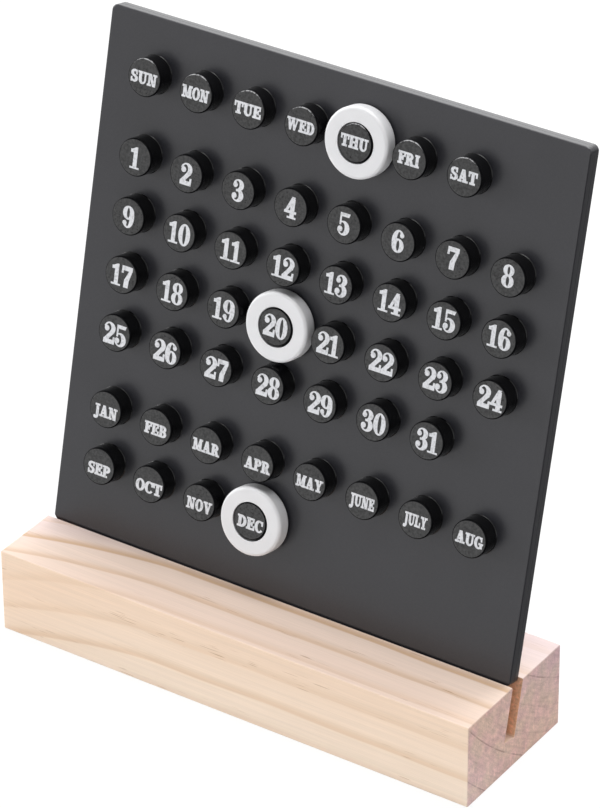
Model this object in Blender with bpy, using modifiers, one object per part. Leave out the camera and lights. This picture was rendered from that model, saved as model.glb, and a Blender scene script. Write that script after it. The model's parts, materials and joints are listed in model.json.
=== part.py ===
"""Perpetual desk calendar: a leaning board of day, date and month pegs in a slotted pine block, with marker rings.

Metres, +Z up. The origin is the middle of the block's underside, and the pegs face -Y.
"""

import math

import bmesh
import bpy
from mathutils import Matrix, Vector

# Pegs
PEG_DIAMETER = 0.0127
PEG_HEIGHT = 0.0062  # from the board's face to the peg's face
PEG_RIM = 0.0005  # eased rim of the peg's face
SPIGOT_DIAMETER = 0.006  # the stem that holds a peg in the board

# Marker rings
RING_WALL = 0.0051  # from the hole to the outside
RING_HEIGHT = 0.0056
RING_FACE_ROUND = 0.001
RING_FOOT_ROUND = 0.0009
RING_HOLE_EASE = 0.0003

# Peg pattern
RING_TO_NEXT_PEG = 0.0019  # so that a ring clears the pegs beside it
GROUP_SPACE = 0.0067  # added between the days, the dates and the months
COLUMNS = 8
WEEKDAYS = ("sun", "mon", "tue", "wed", "thu", "fri", "sat")
LAST_DATE = 31
MONTHS = ("jan", "feb", "mar", "apr", "may", "june", "july", "aug", "sep", "oct", "nov", "dec")
MARKED = {"ring_day": "peg_day_thu", "ring_date": "peg_date_20", "ring_month": "peg_month_dec"}

# Board
BOARD_THICKNESS = 0.0054
LEFT_MARGIN = 0.0194  # from the first column of pegs to the board's left edge
RIGHT_MARGIN = 0.0186  # from the last column of pegs to the right edge
TOP_MARGIN = 0.0188  # from the top row of pegs to the top edge
FOOT_MARGIN = 0.0266  # from the bottom row of pegs to the shoulders
BOARD_CORNER = 0.0021
BOARD_EDGE_EASE = 0.0005
SOCKET_FLOOR = 0.002  # left behind each peg's socket
TONGUE_INSET = 0.01  # how far the tongue stands in from the board's sides
TONGUE_CORNER = 0.002
TONGUE_ROOT_ROUND = 0.0015
SHOULDER_DEPTH = 0.0008  # from the block's top down to the shoulders, in the slot

# Pine block
BASE_DEPTH = 0.055
BASE_HEIGHT = 0.0305
BASE_END_MARGIN = 0.0019  # how much longer the block is than the board, at each end
BASE_EDGE_ROUND = 0.0008
LEAN = math.radians(13.5)  # how far the slot, and the board in it, tips back
SLOT_LIP = -0.0017  # where the slot's front wall meets the block's top, along Y
WOOD_UNDER_SLOT = 0.0105
BOARD_SHIFT = 0.0008  # from the block's middle to the middle of the rows of pegs

# Clearances
SEAT_GAP = 0.0003  # between pieces that rest on or in each other
RING_PLAY = 0.0003  # round a peg, inside a ring's hole
SLOT_FRONT_PLAY = 0.0006  # in front of the board in the slot
SLOT_REAR_PLAY = 0.0003  # behind it, where it leans

# Facets
PEG_SIDES = 16
RING_SIDES = 24
RING_ROUND_STEPS = 3
CORNER_STEPS = 5
EDGE_STEPS = 2
WELD = 0.00001
SHARP_ANGLE = math.radians(40)
CUT_PAST = 0.01  # how far a cutter runs past the face it cuts

# Sizes that follow from the ones above
RING_HOLE = PEG_DIAMETER + 2 * RING_PLAY
RING_DIAMETER = RING_HOLE + 2 * RING_WALL
PEG_PITCH = PEG_DIAMETER / 2 + RING_DIAMETER / 2 + RING_TO_NEXT_PEG
SOCKET_DIAMETER = SPIGOT_DIAMETER + 2 * SEAT_GAP
SOCKET_DEPTH = BOARD_THICKNESS - SOCKET_FLOOR
ROW_LENGTH = (COLUMNS - 1) * PEG_PITCH
BOARD_WIDTH = LEFT_MARGIN + ROW_LENGTH + RIGHT_MARGIN
BASE_LENGTH = BOARD_WIDTH + 2 * BASE_END_MARGIN
SLOT_BACK = BOARD_THICKNESS + SLOT_REAR_PLAY  # behind the board's face
SLOT_DEPTH = (BASE_HEIGHT - WOOD_UNDER_SLOT - SLOT_BACK * math.sin(LEAN)) / math.cos(LEAN)
TONGUE_LENGTH = SLOT_DEPTH - SEAT_GAP

PALE_PINE = (0.83, 0.64, 0.46, 1.0)
BLACK_BOARD = (0.032, 0.032, 0.033, 1.0)
BLACK_PEG = (0.024, 0.024, 0.026, 1.0)
WHITE_RING = (0.80, 0.80, 0.79, 1.0)


def clear_scene():
    """Remove whatever the file opened with."""
    for old in list(bpy.data.objects):
        bpy.data.objects.remove(old)


def new_collection(name):
    """Make a collection in the scene."""
    collection = bpy.data.collections.new(name)
    bpy.context.scene.collection.children.link(collection)
    return collection


def new_material(name, colour, roughness):
    """Make a plain Principled material."""
    material = bpy.data.materials.new(name)
    material.use_nodes = True
    shader = material.node_tree.nodes["Principled BSDF"]
    shader.inputs["Base Color"].default_value = colour
    shader.inputs["Roughness"].default_value = roughness
    shader.inputs["Metallic"].default_value = 0.0
    material.diffuse_color = colour
    return material


def new_part(name, mesh, collection, material=None, parent=None, location=(0.0, 0.0, 0.0)):
    """Put a mesh in a collection as a named object, under a parent if it has one."""
    part = bpy.data.objects.new(name, mesh)
    collection.objects.link(part)
    if material:
        mesh.materials.clear()
        mesh.materials.append(material)
    part.parent = parent
    part.location = location
    return part


def as_cutter(part):
    """Keep a cutting tool out of the finished object."""
    part.hide_render = True
    part.display_type = "WIRE"
    return part


def cut(part, cutter):
    """Cut one solid out of another."""
    boolean = part.modifiers.new("cut_" + cutter.name, "BOOLEAN")
    boolean.operation = "DIFFERENCE"
    boolean.solver = "EXACT"
    boolean.object = cutter


def ease_edges(part, width):
    """Round a part's sharp edges."""
    bevel = part.modifiers.new("eased_edges", "BEVEL")
    bevel.width = width
    bevel.segments = EDGE_STEPS
    bevel.limit_method = "ANGLE"
    bevel.angle_limit = SHARP_ANGLE
    bevel.use_clamp_overlap = False


def mesh_from(holder):
    """Take the finished mesh of a curve or of a part with modifiers, and remove the holder."""
    bpy.context.view_layer.update()
    depsgraph = bpy.context.evaluated_depsgraph_get()
    mesh = bpy.data.meshes.new_from_object(holder.evaluated_get(depsgraph))
    mesh.name = holder.name
    bpy.data.objects.remove(holder)
    return mesh


def shade_round(mesh):
    """Shade a mesh smooth, apart from its sharp edges."""
    mesh.shade_smooth()
    mesh.set_sharp_from_angle(angle=SHARP_ANGLE)


def box_mesh(name, low, high):
    """Make a box between two corners."""
    low = Vector(low)
    size = Vector(high) - low
    place = Matrix.Translation(low + size / 2) @ Matrix.Diagonal((*size, 1.0))
    mesh = bpy.data.meshes.new(name)
    form = bmesh.new()
    bmesh.ops.create_cube(form, size=1.0, matrix=place)
    form.to_mesh(mesh)
    form.free()
    return mesh


def turned_mesh(name, profile, steps, closed=False):
    """Turn a profile of (radius, height) points, which runs down its outer side, about Z."""
    edges = [(index, index + 1) for index in range(len(profile) - 1)]
    if closed:
        edges.append((len(profile) - 1, 0))
    line = bpy.data.meshes.new(name)
    line.from_pydata([(radius, 0.0, height) for radius, height in profile], edges, [])
    holder = bpy.data.objects.new(name, line)
    bpy.context.scene.collection.objects.link(holder)
    screw = holder.modifiers.new("turn", "SCREW")
    screw.axis = "Z"
    screw.angle = math.tau
    screw.steps = steps
    screw.render_steps = steps
    screw.use_merge_vertices = True
    screw.merge_threshold = WELD
    mesh = mesh_from(holder)
    shade_round(mesh)
    return mesh


def arc(centre, radius, start, end, steps):
    """List the points of an arc, both ends included, with angles in degrees."""
    points = []
    for step in range(steps + 1):
        angle = math.radians(start + (end - start) * step / steps)
        points.append((centre[0] + radius * math.cos(angle), centre[1] + radius * math.sin(angle)))
    return points


def rounded_outline(corners):
    """Round the right-angled corners, given as (x, y, radius), of a flat outline."""
    points = []
    for index, (x, y, radius) in enumerate(corners):
        corner = Vector((x, y))
        back = (Vector(corners[index - 1][:2]) - corner).normalized()
        ahead = (Vector(corners[(index + 1) % len(corners)][:2]) - corner).normalized()
        centre = corner + radius * (back + ahead)
        for step in range(CORNER_STEPS + 1):
            turn = math.pi / 2 * step / CORNER_STEPS
            points.append(centre - radius * (ahead * math.cos(turn) + back * math.sin(turn)))
    return points


def plate_mesh(name, outline, thickness):
    """Make a flat plate from its outline, with its front face at Z = 0."""
    curve = bpy.data.curves.new(name, "CURVE")
    curve.dimensions = "2D"
    curve.fill_mode = "NONE"
    curve.extrude = thickness / 2
    spline = curve.splines.new("POLY")
    spline.points.add(len(outline) - 1)
    for point, place in zip(spline.points, outline):
        point.co = (place.x, place.y, 0.0, 1.0)
    spline.use_cyclic_u = True
    holder = bpy.data.objects.new(name, curve)
    bpy.context.scene.collection.objects.link(holder)
    mesh = mesh_from(holder)
    form = bmesh.new()
    form.from_mesh(mesh)
    bmesh.ops.translate(form, vec=(0.0, 0.0, -thickness / 2), verts=form.verts)
    bmesh.ops.remove_doubles(form, verts=form.verts, dist=WELD)
    bmesh.ops.holes_fill(form, edges=form.edges)
    bmesh.ops.recalc_face_normals(form, faces=form.faces)
    form.to_mesh(mesh)
    form.free()
    return mesh


def peg_rows():
    """List the pegs' names row by row, with the extra space above each row."""
    dates = [f"peg_date_{date:02d}" for date in range(1, LAST_DATE + 1)]
    months = [f"peg_month_{month}" for month in MONTHS]
    rows = [([f"peg_day_{day}" for day in WEEKDAYS], 0.0)]
    for group in (dates, months):
        for first in range(0, len(group), COLUMNS):
            space = PEG_PITCH if first else PEG_PITCH + GROUP_SPACE
            rows.append((group[first:first + COLUMNS], space))
    return rows


def peg_places():
    """Give each peg's centre on the board's face, and the height of the board's top edge."""
    rows = peg_rows()
    top = FOOT_MARGIN - SHOULDER_DEPTH + sum(space for _, space in rows) + TOP_MARGIN
    places = {}
    y = top - TOP_MARGIN
    for names, space in rows:
        y -= space
        for column, name in enumerate(names):
            x = column * PEG_PITCH - ROW_LENGTH / 2
            places[name] = (x, y)
    return places, top


def make_board_frame(collection):
    """Stand an empty where the board's face crosses the block's top: X along, Y up the face, Z out of it."""
    frame = bpy.data.objects.new("board_frame", None)
    collection.objects.link(frame)
    face_y = SLOT_LIP + SLOT_FRONT_PLAY / math.cos(LEAN)
    frame.location = (BOARD_SHIFT, face_y, BASE_HEIGHT)
    frame.rotation_euler = (math.pi / 2 - LEAN, 0.0, 0.0)
    frame.empty_display_size = BOARD_WIDTH / 2
    return frame


def make_base(collection, cutters, frame):
    """The pine block, with the leaning saw slot that runs from end to end."""
    half = (BASE_LENGTH / 2, BASE_DEPTH / 2)
    mesh = box_mesh("pine_base", (-half[0], -half[1], 0.0), (half[0], half[1], BASE_HEIGHT))
    base = new_part("pine_base", mesh, collection, new_material("pine", PALE_PINE, 0.6))
    ease_edges(base, BASE_EDGE_ROUND)
    reach = half[0] + CUT_PAST
    slot = box_mesh("slot_cutter", (-reach, -SLOT_DEPTH, -SLOT_BACK), (reach, CUT_PAST, SLOT_FRONT_PLAY))
    cut(base, as_cutter(new_part("slot_cutter", slot, cutters, parent=frame)))


def socket_cutter_mesh(places):
    """One blind socket for each peg's spigot, as a set of cylinders."""
    mesh = bpy.data.meshes.new("socket_cutter")
    form = bmesh.new()
    length = SOCKET_DEPTH + CUT_PAST
    for x, y in places.values():
        bmesh.ops.create_cone(
            form,
            cap_ends=True,
            segments=PEG_SIDES,
            radius1=SOCKET_DIAMETER / 2,
            radius2=SOCKET_DIAMETER / 2,
            depth=length,
            matrix=Matrix.Translation((x, y, length / 2 - SOCKET_DEPTH)),
        )
    form.to_mesh(mesh)
    form.free()
    return mesh


def board_side(edge, inset, top):
    """Trace one side of the board: from its top corner down to the shoulder, and round it to the tongue's foot."""
    tongue = edge + inset
    return [
        (edge, top, BOARD_CORNER),
        (edge, -SHOULDER_DEPTH, BOARD_CORNER),
        (tongue, -SHOULDER_DEPTH, TONGUE_ROOT_ROUND),
        (tongue, -TONGUE_LENGTH, TONGUE_CORNER),
    ]


def make_board(collection, cutters, frame, places, top):
    """The moulded board: rounded corners, and a tongue between two shoulders that stands in the slot."""
    right = board_side(ROW_LENGTH / 2 + RIGHT_MARGIN, -TONGUE_INSET, top)
    left = board_side(-ROW_LENGTH / 2 - LEFT_MARGIN, TONGUE_INSET, top)
    mesh = plate_mesh("board", rounded_outline(right + left[::-1]), BOARD_THICKNESS)
    board = new_part("board", mesh, collection, new_material("board_plastic", BLACK_BOARD, 0.45), frame)
    ease_edges(board, BOARD_EDGE_EASE)
    sockets = new_part("socket_cutter", socket_cutter_mesh(places), cutters, parent=frame)
    cut(board, as_cutter(sockets))


def make_pegs(collection, frame, places):
    """The pegs: a round head that stands on the board's face, and a spigot in its socket."""
    head = PEG_DIAMETER / 2
    spigot = SPIGOT_DIAMETER / 2
    spigot_end = SEAT_GAP - SOCKET_DEPTH
    profile = [
        (0.0, PEG_HEIGHT),
        (head - PEG_RIM, PEG_HEIGHT),
        (head, PEG_HEIGHT - PEG_RIM),
        (head, SEAT_GAP),
        (spigot, SEAT_GAP),
        (spigot, spigot_end),
        (0.0, spigot_end),
    ]
    mesh = turned_mesh("peg", profile, PEG_SIDES)
    plastic = new_material("peg_plastic", BLACK_PEG, 0.4)
    for name, (x, y) in places.items():
        new_part(name, mesh, collection, plastic, frame, (x, y, 0.0))


def make_rings(collection, frame, places):
    """The marker rings, each dropped over the peg that it marks."""
    hole = RING_HOLE / 2
    outside = RING_DIAMETER / 2
    face = (outside - RING_FACE_ROUND, RING_HEIGHT - RING_FACE_ROUND)
    foot = (outside - RING_FOOT_ROUND, RING_FOOT_ROUND)
    profile = [(hole + RING_HOLE_EASE, RING_HEIGHT)]
    profile += arc(face, RING_FACE_ROUND, 90, 0, RING_ROUND_STEPS)
    profile += arc(foot, RING_FOOT_ROUND, 0, -90, RING_ROUND_STEPS)
    profile += [
        (hole + RING_HOLE_EASE, 0.0),
        (hole, RING_HOLE_EASE),
        (hole, RING_HEIGHT - RING_HOLE_EASE),
    ]
    mesh = turned_mesh("ring", profile, RING_SIDES, closed=True)
    plastic = new_material("ring_plastic", WHITE_RING, 0.35)
    for name, peg in MARKED.items():
        x, y = places[peg]
        new_part(name, mesh, collection, plastic, frame, (x, y, SEAT_GAP))


def main():
    """Build the calendar."""
    clear_scene()
    calendar = new_collection("perpetual_calendar")
    cutters = new_collection("cutters")
    frame = make_board_frame(calendar)
    places, top = peg_places()
    make_base(calendar, cutters, frame)
    make_board(calendar, cutters, frame, places, top)
    make_pegs(calendar, frame, places)
    make_rings(calendar, frame, places)
    bpy.context.view_layer.update()


main()
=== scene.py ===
"""Perpetual desk calendar: the finished look of each piece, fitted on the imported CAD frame."""

import json
import math
from functools import partial

import bmesh
import bpy
from bpy.props import FloatProperty, FloatVectorProperty, PointerProperty
from bpy.types import NodeSocket, Operator, Panel, PropertyGroup
from mathutils import Matrix, Vector


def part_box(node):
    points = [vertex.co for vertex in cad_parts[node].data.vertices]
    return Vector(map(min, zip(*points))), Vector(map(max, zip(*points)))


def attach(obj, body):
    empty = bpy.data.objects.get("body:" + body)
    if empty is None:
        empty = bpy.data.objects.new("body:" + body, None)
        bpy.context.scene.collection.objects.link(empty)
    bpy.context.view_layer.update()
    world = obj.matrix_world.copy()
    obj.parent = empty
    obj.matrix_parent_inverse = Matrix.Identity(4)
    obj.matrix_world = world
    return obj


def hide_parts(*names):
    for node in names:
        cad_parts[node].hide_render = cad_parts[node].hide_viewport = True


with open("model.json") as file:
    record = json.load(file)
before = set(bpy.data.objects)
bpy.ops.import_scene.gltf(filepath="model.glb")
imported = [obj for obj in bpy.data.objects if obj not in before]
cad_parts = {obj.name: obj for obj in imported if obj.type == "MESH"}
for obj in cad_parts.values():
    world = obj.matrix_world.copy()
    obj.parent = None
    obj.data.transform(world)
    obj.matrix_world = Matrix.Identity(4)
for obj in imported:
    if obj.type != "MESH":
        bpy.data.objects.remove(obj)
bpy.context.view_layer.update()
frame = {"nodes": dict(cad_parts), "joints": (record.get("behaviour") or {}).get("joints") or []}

bl_info = {
    "name": "Perpetual Desk Calendar",
    "version": (1, 0, 0),
    "blender": (4, 5, 0),
    "location": "View3D > Sidebar > Calendar",
    "description": "Models the pine block, board, pegs, lettering and marker rings of a peg calendar",
    "category": "Add Mesh",
}

MM = 0.001
PAST = 10 * MM  # how far a cutting tool runs past the piece that it cuts
ALIGNED = 0.9  # least cosine between two directions that count as one

# The board's own axes, read from the joints: along the block, up the board's face and out of it.
JOINTS = {joint["name"]: joint for joint in frame["joints"]}
UP = Vector(JOINTS["board_lift"]["axis"]).normalized()
OUT = Vector(JOINTS["ring_day_lift"]["axis"]).normalized()
ALONG = UP.cross(OUT)
TURN = Matrix((ALONG, UP, OUT))  # frame to board axes

# The rings, each a body with one node of the same name, and how far each hangs in its play: up the board
# and out of it, in mm.
RINGS = {"ring_day": (0.0, 0.0), "ring_date": (-0.2, 0.0), "ring_month": (-0.22, 0.22)}
PEGS = [name for name in frame["nodes"] if name.startswith("peg_")]

# Lettering: the width and the strokes of each sign, on a height of 1. A stroke's kind goes by how many
# numbers it has. Three make a dot: x, y, radius. Four make a bar: left, right, low, high. Six make a slope, a
# bar whose ends differ: low, left, right, high, left, right. Nine make a bowl, the band between two ovals:
# middle x, middle y, half width, half height, left thickness, right thickness, thickness above and below,
# start angle, end angle.
SIGNS = {
    "A": (1.02, [
        (0, .10, .24, 1, .38, .52), (0, .60, .90, 1, .36, .64), (.2, .74, .27, .39), (0, .38, 0, .12),
        (.50, 1.02, 0, .12)]),
    "B": (.88, [
        (.11, .38, 0, 1), (0, .5, .88, 1), (0, .5, 0, .12), (.3, .5, .46, .57),
        (.46, .73, .36, .27, .2, .25, .12, -90, 90), (.46, .285, .42, .285, .2, .27, .12, -90, 90)]),
    "C": (.84, [(.46, .5, .46, .52, .27, .2, .11, 45, 318), (.7, .82, .62, .98)]),
    "D": (.95, [
        (.11, .38, 0, 1), (0, .48, .88, 1), (0, .48, 0, .12), (.42, .5, .52, .5, .2, .28, .12, -90, 90)]),
    "E": (.84, [
        (.11, .38, 0, 1), (0, .78, .88, 1), (0, .82, 0, .12), (.3, .6, .45, .56), (.66, .78, .66, 1),
        (.71, .84, 0, .36), (.5, .61, .34, .67)]),
    "F": (.8, [
        (.11, .38, 0, 1), (0, .78, .88, 1), (0, .52, 0, .12), (.3, .58, .44, .55), (.67, .8, .62, 1),
        (.48, .6, .32, .67)]),
    "G": (.96, [
        (.46, .5, .46, .52, .27, .2, .11, 45, 330), (.7, .82, .64, .98), (.62, .87, .04, .46),
        (.5, .97, .35, .47)]),
    "H": (1.06, [
        (.11, .38, 0, 1), (.68, .95, 0, 1), (.3, .74, .44, .56), (0, .49, 0, .12), (0, .49, .88, 1),
        (.57, 1.06, 0, .12), (.57, 1.06, .88, 1)]),
    "I": (.5, [(.115, .385, 0, 1), (0, .5, 0, .12), (0, .5, .88, 1)]),
    "J": (.66, [
        (.28, .55, -.02, 1), (.13, .66, .88, 1), (.2, .0, .35, .29, .2, .27, .13, -95, 2),
        (.12, -.17, .12)]),
    "L": (.83, [(.11, .38, 0, 1), (0, .82, 0, .12), (0, .5, .88, 1), (.7, .83, 0, .4)]),
    "M": (1.18, [
        (.12, .25, 0, 1), (.80, 1.07, 0, 1), (.06, .48, .64, 1, .1, .4), (.06, .5, .62, 1, .84, .98),
        (0, .37, 0, .12), (0, .3, .88, 1), (.69, 1.18, 0, .12), (.88, 1.18, .88, 1)]),
    "N": (1.02, [
        (.13, .27, 0, 1), (.75, .89, 0, 1), (0, .61, .89, 1, .1, .39), (0, .40, 0, .12), (0, .3, .88, 1),
        (.62, 1.02, .88, 1)]),
    "O": (.92, [(.46, .5, .46, .52, .27, .27, .11, 0, 360)]),
    "P": (.84, [
        (.11, .38, 0, 1), (0, .46, .88, 1), (0, .54, 0, .12), (.3, .46, .42, .54),
        (.43, .71, .41, .29, .2, .27, .12, -90, 90)]),
    "R": (1.02, [
        (.11, .38, 0, 1), (0, .46, .88, 1), (0, .49, 0, .12), (.3, .46, .44, .56),
        (.43, .72, .41, .28, .2, .27, .12, -90, 90), (.04, .64, .93, .5, .4, .68), (.62, 1.02, 0, .12)]),
    "S": (.76, [
        (.37, .735, .35, .28, .25, .2, .115, 35, 262), (.39, .275, .37, .29, .2, .27, .115, -150, 85),
        (.4, .4, .72, .6, .04, .36), (.58, .69, .66, 1), (.03, .14, 0, .34)]),
    "T": (.9, [
        (.315, .585, 0, 1), (0, .9, .88, 1), (0, .12, .62, 1), (.78, .9, .62, 1), (.19, .71, 0, .12)]),
    "U": (1.0, [
        (.11, .38, .33, 1), (.73, .87, .33, 1), (.49, .35, .38, .37, .27, .14, .13, 180, 360),
        (0, .5, .88, 1), (.6, 1, .88, 1)]),
    "V": (1.0, [
        (0, .43, .64, 1, .08, .37), (0, .44, .58, 1, .75, .88), (0, .46, .88, 1), (.6, 1, .88, 1)]),
    "W": (1.42, [
        (0, .34, .53, 1, .08, .34), (0, .38, .5, 1, .64, .76), (0, .84, 1.03, 1, .58, .84),
        (0, .89, 1.0, 1, 1.2, 1.32), (0, .42, .88, 1), (.5, .92, .88, 1), (1.06, 1.42, .88, 1)]),
    "Y": (1.0, [
        (.4, .37, .63, 1, .08, .37), (.4, .46, .6, 1, .75, .89), (.37, .64, 0, .48), (0, .46, .88, 1),
        (.6, 1, .88, 1), (.22, .79, 0, .12)]),
    "0": (.64, [(.32, .5, .32, .51, .225, .225, .07, 0, 360)]),
    "1": (.54, [
        (.18, .385, 0, .9), (.74, .02, .22, .88, .02, .38), (.86, .02, .385, 1, .3, .385),
        (.02, .53, 0, .075)]),
    "2": (.62, [
        (.31, .72, .31, .29, .1, .23, .07, -12, 172), (.2, .02, .26, .52, .3, .55),
        (.5, .28, .55, .68, .4, .62), (0, .6, 0, .19), (0, .5, .61, .34, .53, .62),
        (0, 0, .3, .22, .03, .3), (.145, .69, .125)]),
    "3": (.62, [
        (.31, .755, .28, .255, .1, .23, .07, -92, 165), (.3, .285, .32, .295, .1, .24, .07, -165, 92),
        (.2, .38, .46, .55), (.135, .74, .115), (.125, .25, .125)]),
    "4": (.64, [
        (.31, .53, 0, .9), (.24, .0, .13, .98, .36, .53), (0, .64, .23, .335), (.18, .64, 0, .08),
        (.24, 0, .4, .35, .05, .4)]),
    "5": (.62, [
        (.84, .08, .54, 1, .08, .59), (.08, .16, .45, 1), (.3, .315, .32, .325, .1, .24, .07, -165, 130),
        (.13, .26, .125)]),
    "6": (.64, [
        (.33, .5, .33, .51, .23, .2, .07, 50, 282), (.33, .305, .31, .315, .23, .22, .07, 0, 360),
        (.5, .79, .105)]),
    "7": (.6, [
        (.02, .6, .8, 1), (.66, 0, .1, 1, .03, .12), (0, .17, .41, .36, .19, .44),
        (.35, .19, .44, .84, .44, .6)]),
    "8": (.62, [
        (.31, .755, .275, .255, .2, .2, .07, 0, 360), (.31, .275, .31, .285, .22, .22, .07, 0, 360)]),
    "9": (.64, [
        (.31, .5, .33, .51, .2, .23, .07, -130, 102), (.31, .695, .31, .315, .22, .23, .07, 0, 360),
        (.14, .21, .105)]),
}
BOWL_STEPS, DOT_STEPS = 40, 24
WELD = 0.002  # corners that lie nearer than this are joined, on a height of 1
NUMERAL_WEIGHT, CAPITAL_WEIGHT = 0.006, 0.03  # added all round each stroke, on a height of 1
NUMERAL_GAP, CAPITAL_GAP = 0.016, 0.05  # between signs, on a height of 1
NUMERAL_WIDTH = 0.96  # of the height
PRINT_SHIFTS = {"day": 0.19, "date": 0.28, "month": 0.0}  # of each group's print to the right, in mm
PRINT_MIDDLE = 92 * MM  # up the board: the print is turned about this height, and runs low below it
PRINT_SAG = 0.013  # how far it runs low, as a share of the way down
WORD_WIDTHS = {  # printed widths in mm
    "SUN": 10.1, "MON": 10.2, "TUE": 10.1, "WED": 10.3, "THU": 10.1, "FRI": 7.8, "SAT": 9.7,
    "JAN": 9.2, "FEB": 8.7, "MAR": 10.5, "APR": 9.9, "MAY": 10.1, "JUNE": 9.2, "JULY": 8.6, "AUG": 10.1,
    "SEP": 8.9, "OCT": 10.4, "NOV": 9.9, "DEC": 9.9,
}

# The pine's year rings, in mm: where the pith ran, a year's growth, and the radii between which rings show.
PITH_Y, PITH_Z = 68.0, 107.0
YEAR_WIDTH = 7.8
FIRST_RING = 98.0
LAST_RING = FIRST_RING + 5 * YEAR_WIDTH
GROWTH_DRAW, RING_DRAW = 895.0, 114.0  # the draws for how dark each year is, along the grain and on the ends
# The pine's patterns: the size of a patch in mm along X, Y and Z, or 0 where it runs on, with its detail
# and roughness.
PINE_PATTERNS = {
    "waver": ((90, 60, 60), 2.0, 0.4),
    "fibre": ((25, 0.3, 0.3), 3.0, 0.6),  # a little coarser than real fibres, so that they show
    "streak": ((70, 1.5, 1.5), 2.0, 0.6),
    "duct": ((8, 0.3, 0.3), 0.0, 0.5),
    "pores": ((0.5, 0.5, 0.5), 3.0, 0.7),
    "mottle": ((3.5, 3.5, 3.5), 2.0, 0.6),
    "stroke": ((0, 0.6, 5), 1.0, 0.5),
    "tint": ((6, 6, 6), 0.0, 0.5),
    "broken": ((4, 4, 4), 2.0, 0.5),
    "torn": ((1.1, 1.1, 1.1), 4.0, 0.65),
}

BUMP_FILTER = 0.1  # the Bump node's own filter width

# The stage: the camera's place, its turn in degrees, its lens and film in mm, the point that the lamps face,
# and each lamp's place, width, height and brightness.
CAMERA_PLACE = (0.70337, -1.02134, 0.86695)
CAMERA_TURN = (58.3905, 0.3946, 33.9291)
CAMERA_LENS, CAMERA_FILM = 277.024, 36.0
LAMP_AIM = Vector((0, 0, 0.09))
LAMPS = {
    "left_softbox": ((-2.5, -0.8, 0.63), 1.8, 1.26, 6.75),
    "overhead_softbox": ((0.0, 0.15, 1.5), 1.0, 1.0, 4.5),
    "rear_softbox": ((0.05, 0.95, 1.1), 1.0, 1.0, 4.0),
    "rear_panel": ((-0.75, 1.25, 0.45), 1.4, 0.9, 0.85),
    "rim_light": ((-0.62, 0.455, 1.105), 0.3, 0.3, 3.6),
    "front_fill": ((0.1, -1.5, 0.35), 1.0, 0.6, 1.0),
    "right_fill": ((1.3, -0.7, 0.5), 1.0, 0.8, 0.4),
}
WHITE = (1, 1, 1, 1)


def linear(code):
    """Turn an sRGB hex colour into linear red, green and blue."""
    values = [int(code[index:index + 2], 16) / 255 for index in (1, 3, 5)]
    return [value / 12.92 if value <= 0.04045 else ((value + 0.055) / 1.055) ** 2.4 for value in values]


def extent(node):
    """Give a CAD node's lowest and highest corner in the board's own axes."""
    points = [TURN @ vertex.co for vertex in frame["nodes"][node].data.vertices]
    low = Vector([min(point[axis] for point in points) for axis in range(3)])
    high = Vector([max(point[axis] for point in points) for axis in range(3)])
    return low, high


BASE_LOW, BASE_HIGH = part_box("pine_base")
BOARD_LOW, BOARD_HIGH = extent("board")
# The board's frame stands where its face crosses the block's top: X along, Y up the face, Z out of it.
FACE_Y = (BOARD_HIGH.z - OUT.z * BASE_HIGH.z) / OUT.y
FACE_ORIGIN = Vector(((BOARD_LOW.x + BOARD_HIGH.x) / 2, FACE_Y, BASE_HIGH.z))
FACE = Matrix.Translation(FACE_ORIGIN) @ TURN.transposed().to_4x4()
ORIGIN_SHIFT = TURN @ FACE_ORIGIN


def on_board(node):
    """Give a CAD node's lowest and highest corner in the board's frame."""
    low, high = extent(node)
    return low - ORIGIN_SHIFT, high - ORIGIN_SHIFT


def peg_centre(node):
    """Give the middle of a peg or ring on the board's face, in the board's frame."""
    low, high = on_board(node)
    return Vector(((low.x + high.x) / 2, (low.y + high.y) / 2, 0))


PEG_LOW, PEG_HIGH = on_board("peg_date_01")
# The painted highlight on the days' rims starts just above this height.
RIM_HIGHLIGHT_FROM = FACE_ORIGIN.dot(UP) + on_board("peg_day_sun")[0].y - MM  # up the board, just under the days
RING_TOP = on_board("ring_day")[1].z


def length(name, value, description):
    """Make a property for a length in metres."""
    return FloatProperty(name=name, description=description, default=value, min=0.0, precision=5,
                         unit="LENGTH")


def colour(name, code, description):
    """Make a property for a colour that is written in sRGB hex."""
    return FloatVectorProperty(name=name, description=description, default=linear(code), size=3,
                               min=0, max=1, subtype="COLOR")


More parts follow.
